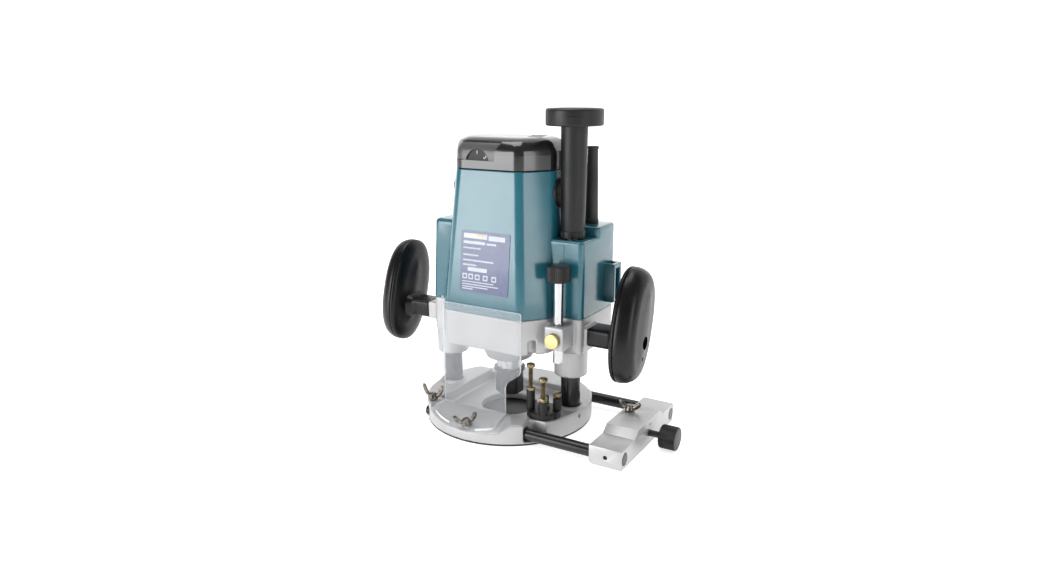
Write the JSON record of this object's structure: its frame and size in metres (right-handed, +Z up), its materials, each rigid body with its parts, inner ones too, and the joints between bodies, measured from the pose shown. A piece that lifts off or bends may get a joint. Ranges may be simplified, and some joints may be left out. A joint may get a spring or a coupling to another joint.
{
  "type": "plunge router",
  "caption": "Plunge router: motor unit with two side grips sliding on two columns over a round base, with depth stops, chip shield and guide rods.",
  "frame": {"origin": "spindle axis at the underside of the sub-base", "axes": "+X towards the right grip, along the guide rods; +Y to the back; +Z up along the spindle"},
  "size_m": [0.3105, 0.1648, 0.291],
  "materials": {
    "cast_aluminium": "fine cast, clear coated",
    "sub_base_black": "matt laminate",
    "column_black": "black oxide, oiled",
    "dark_steel": "blackened",
    "bright_steel": "ground",
    "chrome": "polished",
    "clear_shield": "clear polycarbonate",
    "housing_teal": "satin gloss moulding",
    "cover_black": "gloss moulding",
    "grip_black": "satin moulding",
    "control_black": "satin moulding",
    "rubber_black": "matt",
    "bronze": "machined",
    "laminations": "stacked plates",
    "carbon": "matt",
    "label": "printed film",
    "circuit_board": "satin",
    "inner_plastic": "satin",
    "brass_screw": "polished",
    "zinc_yellow": "yellow zinc plated",
    "nickel": "nickel plated, tarnished"
  },
  "bodies": {
    "base": {"base_casting": "cast_aluminium", "sub_base": "sub_base_black", "sub_base_screws": "dark_steel", "left_column": "column_black", "right_column": "column_black", "stop_rod": "dark_steel", "spring_guide_pin": "dark_steel", "chip_shield": "clear_shield", "turret_pivot_screw": "dark_steel", "plunge_springs": "bright_steel"},
    "motor": {"motor_bracket": "cast_aluminium", "motor_housing": "housing_teal", "top_cover": "cover_black", "cover_screws": "dark_steel", "housing_screws": "dark_steel", "column_bushes": "bronze", "stator": "laminations", "brush_holders": "bright_steel", "carbon_brushes": "carbon", "brush_caps": "control_black", "cord_guard": "rubber_black", "label_plate": "label", "speed_module": "circuit_board", "top_bearing": "bright_steel", "bottom_bearing": "bright_steel", "fan_baffle": "inner_plastic", "right_grip_inner": "grip_black", "right_grip_outer": "grip_black", "left_grip_inner": "grip_black", "left_grip_outer": "grip_black", "grip_screws": "dark_steel", "switch_body": "control_black"},
    "rotor": {"spindle": "bright_steel", "rotor_core": "laminations", "commutator": "bronze", "fan": "inner_plastic", "collet_cone": "bright_steel", "collet_nut": "dark_steel"},
    "dial": {"speed_dial": "control_black"},
    "trigger": {"trigger": "control_black"},
    "lock_button": {"lock_on_button": "control_black"},
    "lock_pin": {"spindle_lock_pin": "dark_steel"},
    "lock_lever": {"plunge_lock_lever": "control_black"},
    "pole": {"depth_pole": "chrome"},
    "pole_knob": {"depth_pole_knob": "control_black"},
    "pole_screw": {"pole_thumb_screw": "brass_screw"},
    "turret": {"turret": "control_black", "turret_bolts": "zinc_yellow"},
    "stop_carrier": {"thrust_washer": "bronze"},
    "stop_screw": {"stop_sleeve": "control_black", "stop_knob": "control_black"},
    "guide": {"guide_rods": "column_black", "guide_holder": "cast_aluminium"},
    "fine_knob": {"fine_adjust_knob": "control_black"},
    "holder_bolt": {"holder_wing_bolt": "nickel"},
    "shield_bolt": {"shield_wing_bolt": "nickel"},
    "front_rod_bolt": {"front_rod_wing_bolt": "nickel"},
    "rear_rod_bolt": {"rear_rod_wing_bolt": "nickel"}
  },
  "joints": [
    {"name": "plunge", "type": "slide", "parent": "base", "child": "motor", "axis": [0, 0, -1], "range_m": [0, 0.02], "stiffness_N_per_m": 1400, "springref_m": -0.06, "deforming": ["plunge_springs"]},
    {"name": "spindle_spin", "type": "hinge", "parent": "motor", "child": "rotor", "pos_m": [0, 0, 0.1], "axis": [0, 0, 1], "continuous": true},
    {"name": "speed_dial_turn", "type": "hinge", "parent": "motor", "child": "dial", "pos_m": [-0.0115, -0.031, 0.2425], "axis": [0, 1, 0], "range_deg": [0, 270]},
    {"name": "trigger_pull", "type": "hinge", "parent": "motor", "child": "trigger", "pos_m": [0.121, 0.0306, 0.12766], "axis": [-1, 0, 0], "range_deg": [0, 5], "stiffness_Nm_per_rad": 0.3, "springref_deg": -17.19},
    {"name": "lock_button_push", "type": "slide", "parent": "motor", "child": "lock_button", "axis": [1, 0, 0], "range_m": [0, 0.003], "stiffness_N_per_m": 150, "springref_m": -0.004},
    {"name": "spindle_lock_push", "type": "slide", "parent": "motor", "child": "lock_pin", "axis": [0, -1, 0], "range_m": [0, 0.004], "stiffness_N_per_m": 200, "springref_m": -0.005},
    {"name": "plunge_lock_turn", "type": "hinge", "parent": "motor", "child": "lock_lever", "pos_m": [-0.0665, 0.026, 0.063], "axis": [0, 1, 0], "range_deg": [-20, 20]},
    {"name": "depth_pole_slide", "type": "slide", "parent": "motor", "child": "pole", "axis": [0, 0, 1], "range_m": [-0.008, 0.03]},
    {"name": "pole_knob_turn", "type": "hinge", "parent": "pole", "child": "pole_knob", "pos_m": [0.0679, -0.0282, 0.15], "axis": [0, 0, 1], "continuous": true},
    {"name": "pole_screw_turn", "type": "hinge", "parent": "motor", "child": "pole_screw", "pos_m": [0.0679, -0.04, 0.094], "axis": [0, 1, 0], "range_deg": [0, 360]},
    {"name": "turret_turn", "type": "hinge", "parent": "base", "child": "turret", "pos_m": [0.056, -0.0318, 0.023], "axis": [0, 0, 1], "continuous": true},
    {"name": "stop_knob_turn", "type": "hinge", "parent": "stop_carrier", "child": "stop_screw", "pos_m": [0.0665, 0, 0.28], "axis": [0, 0, 1], "range_deg": [0, 3601]},
    {"name": "stop_screw_lift", "type": "slide", "parent": "base", "child": "stop_carrier", "axis": [0, 0, 1], "range_m": [0, 0.02]},
    {"name": "guide_slide", "type": "slide", "parent": "base", "child": "guide", "axis": [1, 0, 0], "range_m": [-0.02, 0.03]},
    {"name": "fine_knob_turn", "type": "hinge", "parent": "guide", "child": "fine_knob", "pos_m": [0.15, 0, 0.0108], "axis": [1, 0, 0], "continuous": true},
    {"name": "holder_bolt_turn", "type": "hinge", "parent": "guide", "child": "holder_bolt", "pos_m": [0.122, 0.01, 0.025], "axis": [0, 0, 1], "continuous": true},
    {"name": "shield_bolt_turn", "type": "hinge", "parent": "base", "child": "shield_bolt", "pos_m": [0, -0.073, 0.01241], "axis": [0, -0.3134, 0.9496], "continuous": true},
    {"name": "front_rod_bolt_turn", "type": "hinge", "parent": "base", "child": "front_rod_bolt", "pos_m": [-0.052, -0.054, 0.024], "axis": [0, 0, 1], "continuous": true},
    {"name": "rear_rod_bolt_turn", "type": "hinge", "parent": "base", "child": "rear_rod_bolt", "pos_m": [0.04, 0.054, 0.02], "axis": [0, 0, 1], "continuous": true}
  ],
  "couplings": [
    {"joint": "stop_knob_turn", "follows": "stop_screw_lift", "rad_per_m": 3141.6}
  ]
}
